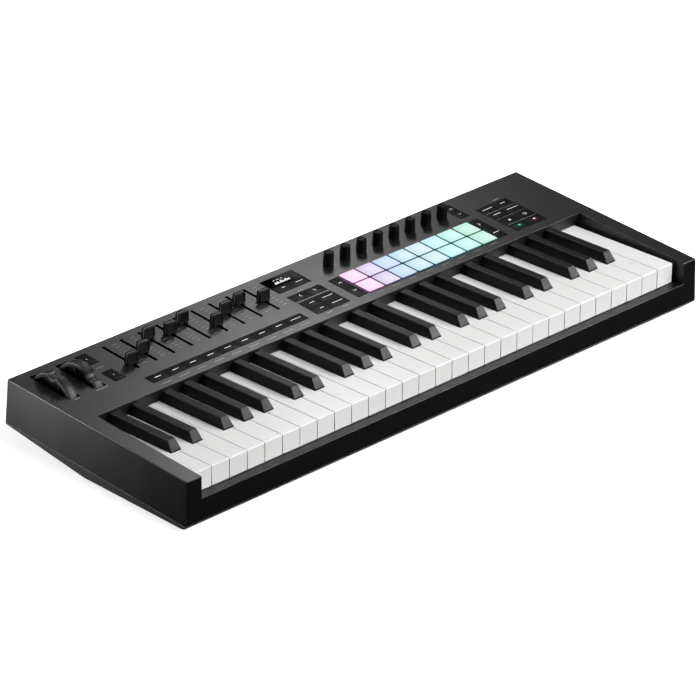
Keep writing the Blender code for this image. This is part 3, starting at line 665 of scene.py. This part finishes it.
def white_keys():
    for number in range(1, WHITE_KEYS + 1):
        node = f"white_key_{number:02d}"

        def weight(edge):
            spots = [v.co for v in edge.verts]
            upper = all(s.z > key_top_z(s.y) - 0.1 * MM for s in spots)
            front = all(s.y < KEY_FRONT_Y + 0.1 * MM for s in spots)
            if upper:
                return 1.0 if front else 0.45
            return 0.35 if front else 0.0

        refined(node, WHITE, node + "_body", 1.1 * MM, weight)


def black_keys():
    for octave in range(1, OCTAVES + 1):
        node = f"black_keys_octave_{octave}"

        def weight(edge):
            spots = [v.co for v in edge.verts]
            hidden = any(s.z < key_top_z(s.y) - 6 * MM for s in spots)
            if hidden and not all(s.y < BLACK_KEY_FRONT_Y for s in spots):
                return 0.0
            return 1.0 if all(s.z > key_top_z(s.y) + 3 * MM for s in spots) else 0.6

        refined(node, BLACK, f"black_octave_{octave}_body", 0.9 * MM, weight)


# ---------------------------------------------------------------- controls

def fader_caps():
    low, high, half_x, half_y = 0.6, 13.0, 6.9, 3.5
    corner, side_lean, face_lean = 1.4, 0.06, 0.143
    middle, half_z = (low + high) / 2, (high - low) / 2

    def shaped(inset, depth):
        """One outline of the cap, seen from the front, at a share of its half depth."""
        points = []
        for x, z, _ in ring(half_x - inset, half_z - inset, corner - min(inset, 1.1), 0, 5):
            t = (z + half_z) / (2 * half_z)
            points.append((x * (1 - side_lean * t), depth * half_y * (1 - face_lean * t), z + middle))
        return points

    levels = [(4.0, -0.86), (1.7, -0.86), (1.2, -0.92), (0.8, -0.985), (0.5, -1.0), (0.15, -0.96),
              (0.0, -0.87), (0.0, -0.20), (0.08, -0.16), (0.45, -0.15)]
    levels = levels + [(i, -d) for i, d in reversed(levels)]
    for number in range(1, FADERS + 1):
        node, body = f"fader_cap_{number}", f"fader_{number}_body"
        x, v = panel_spot(node)
        cap = loft([shaped(inset, depth) for inset, depth in levels])
        blade = slab((2.2, 4.6), -3.9, 1.6, 0.4, 0.2)
        piece(f"fader_cap_{number}_shell", on_panel(joined([cap, blade]), x, v), CAP, body,
              [node])
        line = loft([shaped(0.30, -0.12), shaped(0.30, 0.12)])
        piece(f"fader_line_{number}", on_panel(line, x, v), PRINT, body)


def knobs():
    ribs, rib_depth, steps = 20, 0.28, 160
    rib_radius, rib_low, rib_high = 5.2, 1.6, 13.9

    def ribbed(radius, height, angle):
        if radius < rib_radius or not rib_low < height < rib_high:
            return radius
        wave = 0.5 + 0.5 * math.cos(ribs * angle)
        return radius - rib_depth * (1 - wave ** 0.6)

    profile = [(0.01, -3.9), (3.0, -3.9), (3.0, 0.9), (5.3, 0.9), (5.7, 1.1), (5.8, 1.5), (5.79, 1.7),
               (5.62, 6.0), (5.5, 10.0), (5.42, 13.8), (5.38, 14.0), (5.3, 14.5), (5.05, 14.85),
               (4.7, 15.0), (4.2, 14.95), (3.9, 14.85), (0.01, 14.8)]
    for number in range(1, COLUMNS + 1):
        node = f"knob_{number}"
        shape = on_panel(lathe(profile, steps, radius_at=ribbed), *panel_spot(node))
        piece(f"knob_{number}_shell", shape, KNOB, f"knob_{number}_body", [node])


def mirrored(half, middle=0):
    """A profile of (radius, height) and its other side; the last middle points are on the fold."""
    return half + [(r, -h) for r, h in reversed(half[:len(half) - middle])]


def wheels():
    steps, spokes, first_spoke = 300, 5, math.radians(24)
    # The finger notch is a bite of a circle whose centre is a reach outside the wheel
    reach, bite, notch_share, soft = 4.0, 8.0, math.radians(20), 0.15
    for node, notch_angle in (("pitch_wheel", math.radians(3.5)), ("mod_wheel", math.radians(38))):
        low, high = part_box(node)
        radius = (high.y - low.y) / 2 / MM
        centre = Vector(((low.x + high.x) / 2, (low.y + high.y) / 2, low.z + radius * MM))

        def notched(r, _, angle):
            """The rim and what lies just under it dip together where the finger notch is."""
            # the angle runs from +Y towards +Z; the notch's own angle runs from +Z towards -Y
            off = (angle - math.pi / 2 - notch_angle + math.pi) % (2 * math.pi) - math.pi
            share = min(1.0, max(0.0, (r - radius + 9.5) / 5.0))
            if not share or abs(off) > notch_share:
                return r
            far = radius + reach
            inside = bite ** 2 - (far * math.sin(off)) ** 2
            cut = far * math.cos(off) - math.sqrt(inside) if inside > 0 else far
            blend = max(0.0, min(1.0, 0.5 + 0.25 * (cut - radius) / soft))
            floor_r = cut * (1 - blend) + radius * blend - soft * blend * (1 - blend)
            return r - share * max(0.0, radius - min(floor_r, radius))

        body, turn = node + "_body", Matrix.Translation(centre)
        half = [(0.01, 6.6), (3.6, 6.6), (4.0, 6.3), (4.0, 3.0), (7.0, 2.8), (7.8, 2.2),
                (radius - 7.4, 2.0), (radius - 2.0, 2.0)]
        disc = [lathe(mirrored(half), steps, "X", notched)]
        for k in range(spokes):
            angle = notch_angle + first_spoke + 2 * math.pi * k / spokes
            spoke = slab((7.6, 1.5), 6.0, radius - 6.6, 0.3, 0.2)
            disc.append(moved(spoke, Matrix.Rotation(angle, 4, "X")))
        piece(node + "_disc", moved(joined(disc), turn), CAP, body, [node], angle=20)
        side = [(radius - 4.6, 1.6), (radius - 4.5, 4.7), (radius - 4.2, 5.1), (radius - 3.8, 5.2),
                (radius - 1.1, 5.5), (radius - 0.7, 5.5), (radius - 0.4, 5.42), (radius - 0.2, 5.2),
                (radius - 0.12, 4.9), (radius - 0.12, 4.6), (radius - 0.3, 4.35), (radius - 1.0, 4.3),
                (radius - 1.0, 3.9)]
        rim = loft(turned(mirrored(side), steps, "X", notched), closed=True)
        piece(node + "_rim", moved(rim, turn), RIM, body, angle=20)
        band = [(radius - 1.4, 3.75), (radius - 0.4, 3.75), (radius - 0.12, 3.5), (radius, 2.6),
                (radius, 0.0)]
        tyre = loft(turned(mirrored(band, 1), steps, "X", notched), closed=True)
        piece(node + "_tyre", moved(tyre, turn), TYRE, body, angle=20)


def linear(colour):
    """A screen colour, 0 to 255, as light."""
    return tuple(((c / 255 + 0.055) / 1.055) ** 2.4 for c in colour)


def pads():
    hearts = [(254, 233, 250), (240, 231, 252), (217, 235, 246), (224, 247, 252),
              (228, 247, 252), (220, 253, 255), (221, 251, 250), (219, 250, 239)]
    edges = [(252, 208, 248), (208, 190, 232), (190, 212, 250), (176, 215, 230),
             (188, 226, 235), (182, 236, 240), (174, 233, 227), (170, 230, 210)]
    stands_for = ["pad_mat"]
    for column, (heart, edge) in enumerate(zip(hearts, edges)):
        number = column + 1
        glow = glowing_pad(f"pad_glow_{number}", linear(heart), linear(edge))
        wall = pad_wall_painted_shade(f"pad_wall_painted_shade_{number}", linear(edge))
        for row, v in PAD_ROWS.items():
            shape = slab((22.6, 23.2), -3.3, 1.7, 2.0, 0.75, crown=0.10)
            # The sloping sides take the second, dimmer finish: painted shade of the gaps.
            for face in shape.faces:
                face.material_index = int(face.normal.z < 0.8)
            piece(f"pad_{row}_{number}", on_panel(shape, FIRST_PAD_X + PAD_PITCH * column, v),
                  [glow, wall], "pads_body", stands_for)
            stands_for = ()
    low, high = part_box("pad_mat")
    sheet = slab(((high.x - low.x) / MM, 51.0), -5.0, SHEET_HIGH, 2.0, 0.3)
    middle = ((low.x + high.x) / 2 / MM, sum(PAD_ROWS.values()) / 2)
    piece("pad_sheet", on_panel(sheet, *middle), SHEET, "pads_body")


def button_cells():
    """Each button's name, middle and size."""
    for block, (left, right, low, high, columns, rows) in BUTTON_BLOCKS.items():
        step_x, step_v = (right - left) / columns, (high - low) / rows
        for column in range(columns):
            for row in range(rows):
                yield (f"{block}_{column + 1}_{row + 1}",
                       left + (column + 0.5) * step_x, low + (row + 0.5) * step_v,
                       step_x - BUTTON_GAP, step_v - BUTTON_GAP)


def buttons():
    halos = {"transport_lower_1_1": halo_button("green_halo", (0.0, 0.25, 0.16), 0.42),
             "transport_lower_2_1": halo_button("red_halo", (0.30, 0.02, 0.14), 0.26)}
    stands_for = ["button_mat"]
    for name, x, v, width, depth in button_cells():
        shape = slab((width, depth), -3.9, BUTTON_TOP, 0.4, 0.14)
        piece("button_" + name, on_panel(shape, x, v), halos.get(name, BUTTON), "buttons_body",
              stands_for)
        stands_for = ()
    # The sheet under them, in arms: left, right, lower v, upper v
    arms = [(-283.7, 307.8, 157.2, 162.0), (-257.2, -42.7, 158, 180.3), (-283.7, -267.7, 158, 255.9),
            (-31.7, 15.8, 158, 235.9), (26.3, 39.6, 158, 212.7), (234.7, 248.8, 158, 255.4),
            (260.3, 307.8, 158, 228.5)]
    sheets = [slab((right - left, high - low), SHEET_LOW, SHEET_HIGH, 0.8, 0.2,
                   centre=((left + right) / 2, (low + high) / 2)) for left, right, low, high in arms]
    piece("keypad_sheet", on_panel(joined(sheets)), SHEET, "buttons_body")


# ---------------------------------------------------------------- marks

def bar(x, v, length, width=1.0, w=BUTTON_TOP, turn=0.0, rise=0.06):
    """A printed stroke with round ends, as a thin raised strip at height w."""
    ends = [ring(length / 2, width / 2, width / 2, z, 3) for z in (-0.15, rise)]
    spot = Matrix.Translation((x * MM, v * MM, w * MM)) @ Matrix.Rotation(math.radians(turn), 4, "Z")
    return moved(loft(ends), spot)


def chevron(x, v, facing):
    """Two strokes that meet in a point: facing is the way it points, in degrees from +x."""
    reach, length, width = 2.1, 3.2, 0.5
    strokes = []
    for side in (-1, 1):
        angle = math.radians(facing)
        mid = Vector((-0.5 * reach, side * 0.5 * reach))
        spot = Vector((mid.x * math.cos(angle) - mid.y * math.sin(angle),
                       mid.x * math.sin(angle) + mid.y * math.cos(angle)))
        strokes.append(bar(x + spot.x, v + spot.y, length, width, turn=facing - side * 45))
    return strokes


def dot(x, v, radius):
    return bar(x, v, 2 * radius, 2 * radius)


def square(x, v):
    """An outline of four strokes."""
    reach, length, width = 1.6, 3.6, 0.45
    strokes = []
    for side in range(4):
        a = math.radians(90 * side)
        strokes.append(bar(x + reach * math.cos(a), v + reach * math.sin(a), length, width,
                           turn=90 * side + 90))
    return strokes


def triangle(x, v, radius):
    corners = [(x + radius * math.cos(a), v + radius * math.sin(a))
               for a in (0.0, math.radians(120), math.radians(240))]
    return loft([[(px, pv, BUTTON_TOP - 0.15) for px, pv in corners],
                 [(px, pv, BUTTON_TOP + 0.06) for px, pv in corners]])


def button_marks():
    shapes = []
    for name, x, v, *_ in button_cells():
        if name.startswith("fader_"):
            length, width = (14.0, 0.6) if name == f"fader_{FADERS}_1" else (8.4, 0.8)
            shapes.append(bar(x + 0.5, v + 0.7, length, width))
    for x, v in ((-274.9, 204.1), (-275.2, 244.7)):
        shapes.append(dot(x, v, 0.6))
    strokes = [(-17.7, 231.0, 5), (5.0, 231.0, 10), (-17.7, 188.4, 7), (4.6, 188.4, 14),
               (-17.7, 173.7, 5), (4.3, 173.7, 15), (242.3, 177.8, 9), (273.3, 221.4, 14),
               (296.3, 221.4, 7), (273.3, 206.7, 11), (296.3, 206.7, 16)]
    for x, v, length in strokes:
        shapes.append(bar(x, v, length, 0.7))
    arrows = [(-18.0, 206.7, 180), (4.3, 206.3, 0), (241.8, 201.6, 0), (34.3, 201.6, 90),
              (35.3, 178.3, 270), (242.3, 247.3, 90), (242.3, 231.0, 270)]
    for x, v, facing in arrows:
        shapes += chevron(x, v, facing)
    shapes.append(dot(273.8, 188.4, 1.6))
    shapes += square(296.8, 188.4)
    piece("button_marks", moved(joined(shapes), PANEL), LAMP, "buttons_body")
    piece("play_mark", moved(triangle(273.8, 173.7, 1.9), PANEL), PLAY, "buttons_body")
    piece("record_mark", moved(dot(296.3, 173.7, 1.5), PANEL), RECORD, "buttons_body")


def panel_marks():
    faint, bright = [], []
    ticks, tick_side, first_tick_v, tick_pitch = 9, 12.0, 203.6, 5.78

    def stroke(marks, x, v, length, width, w=0.0):
        marks.append(bar(x, v, length, width, w, rise=PRINT_RISE))

    for number in range(1, FADERS + 1):
        x, _ = panel_spot(f"fader_cap_{number}")
        for tick in range(ticks):
            length = 6.0 if tick % 4 == 0 else 5.0
            stroke(faint, x + tick_side, first_tick_v + tick_pitch * tick, length, 0.5)
    for name, x, *_ in button_cells():
        if name.startswith("fader_"):
            stroke(bright, x, 159.0, 13.0, 0.6)
    for column in range(COLUMNS):
        stroke(faint, FIRST_PAD_X + PAD_PITCH * column, 160.6, 10.0, 0.7)
    stroke(bright, -335.7, 190.4, 7.0, 0.9)
    stroke(bright, -302.0, 190.4, 15.0, 0.9)
    for x, v, length in ((-275.7, 223.9, 10), (-8.7, 215.2, 8), (-18.7, 161.5, 7), (4.3, 161.5, 8)):
        stroke(faint, x, v, length, 0.8)
    stroke(bright, 296.3, 231.5, 9.0, 1.0)
    # Light strokes between the rows of the transport buttons: a painted highlight where the lit panel
    # shows in the gaps
    for v, w in ((180.55, BUTTON_TOP), (196.75, 0.0), (212.5, BUTTON_TOP)):
        stroke(faint, 284.05, v, 44.0, 0.25, w)
    piece("panel_print", moved(joined(faint), PANEL), PRINT, "case")
    piece("panel_print_bright", moved(joined(bright), PANEL), PRINT_BRIGHT, "case")


def display():
    left, right, near, back = DISPLAY
    x, v = (left + right) / 2, (near + back) / 2
    lens = slab((right - left, back - near), -9.0, -0.2, 0.6, 0.25, centre=(x, v))
    flange = slab((right - left + 6, back - near + 1.0), -5.0, -3.0, 1.0, 0.2, centre=(x, v + 0.6))
    piece("display_lens", on_panel(joined([lens, flange])), GLASS, "case",
          ["display_module"])
    heights, first_x, pitch, foot_v = (3, 5, 4, 6, 2, 5, 6, 4, 3, 5, 6, 3, 4), -19.0, 1.65, 240.4
    glyphs = [bar(first_x + pitch * i, foot_v + 0.4 * h, 0.8 * h, 0.8, -0.2, 90, rise=PRINT_RISE)
              for i, h in enumerate(heights)]
    glyphs += [bar(-15.5 + 5.0 * i, 248.0, 3.2, 0.4, -0.2, rise=PRINT_RISE) for i in range(3)]
    piece("display_glyphs", moved(joined(glyphs), PANEL), SCREEN, "case")


# ---------------------------------------------------------------- inside and rear

def tube(half_x, half_z, wall, near, far, x, z, corner):
    """A rounded metal shell lying along Y."""
    outer = ring(half_x, half_z, corner, 0, 6)
    inner = ring(half_x - wall, half_z - wall, corner - wall, 0, 6)
    loops = [[(x + px, y, z + pz) for px, pz, _ in outline]
             for outline, y in ((outer, near), (outer, far), (inner, far), (inner, near))]
    return loft(loops, closed=True)


def rear_sockets():
    """What shows inside the openings of the rear wall."""
    seat_y, face_y, z = 127.45, 131.6, 38.0
    jack_x, din_x, usb_x, lock_x = -160.0, -190.0, -218.0, -128.0
    along = Matrix.Rotation(math.radians(-90), 4, "X")
    piece("jack_nut", tube(4.8, 4.8, 1.4, seat_y, face_y, jack_x, z, 4.79), NICKEL, "case")
    piece("din_shell", tube(8.2, 8.2, 0.8, seat_y, face_y, din_x, z, 8.19), NICKEL, "case")
    insert = moved(lathe([(0.01, 0.0), (7.3, 0.0), (7.3, 1.7), (7.0, 2.0), (0.01, 2.0)], 48),
                   Matrix.Translation((din_x * MM, seat_y * MM, z * MM)) @ along)
    piece("din_insert", insert, SOCKET, "case")
    holes = []
    for k in range(5):
        a = math.radians(180 + 45 * k)
        spot = Matrix.Translation(((din_x + 4.7 * math.cos(a)) * MM, (seat_y + 1.9) * MM,
                                   (z - 4.7 * math.sin(a)) * MM))
        hole = lathe([(0.01, 0.0), (0.9, 0.0), (0.9, 0.15), (0.01, 0.15)], 20)
        holes.append(moved(hole, spot @ along))
    piece("din_holes", joined(holes), SHADOW, "case")
    piece("usb_shell", tube(5.1, 2.15, 0.4, seat_y, 131.0, usb_x, z, 2.1), NICKEL, "case")
    tongue = moved(slab((7.0, 0.9), 119.5, 129.0, 0.3, 0.1),
                   Matrix.Translation((usb_x * MM, 0, z * MM)) @ along)
    piece("usb_tongue", tongue, SOCKET, "case")
    piece("lock_rim", tube(3.5, 1.6, 0.4, 129.9, 132.0, lock_x, z, 0.9), STEEL, "case")


def carried_over():
    """The CAD nodes inside that show as they are take a finish."""
    for node, finish in (("key_chassis", CHASSIS), ("main_board", SHADED_BOARD), ("rear_io", SOCKET)):
        slots = NODES[node].material_slots
        if slots:
            for material_slot in slots:
                material_slot.material = finish
        else:
            NODES[node].data.materials.append(finish)


def plain(corners):
    return [list(corner) for corner in corners]


make_camera()
make_stage()
top_case()
bottom_case()
white_keys()
black_keys()
fader_caps()
knobs()
wheels()
pads()
buttons()
button_marks()
panel_marks()
display()
rear_sockets()
carried_over()

{"cad": plain(CAD_BOX), "visual": plain(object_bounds())}
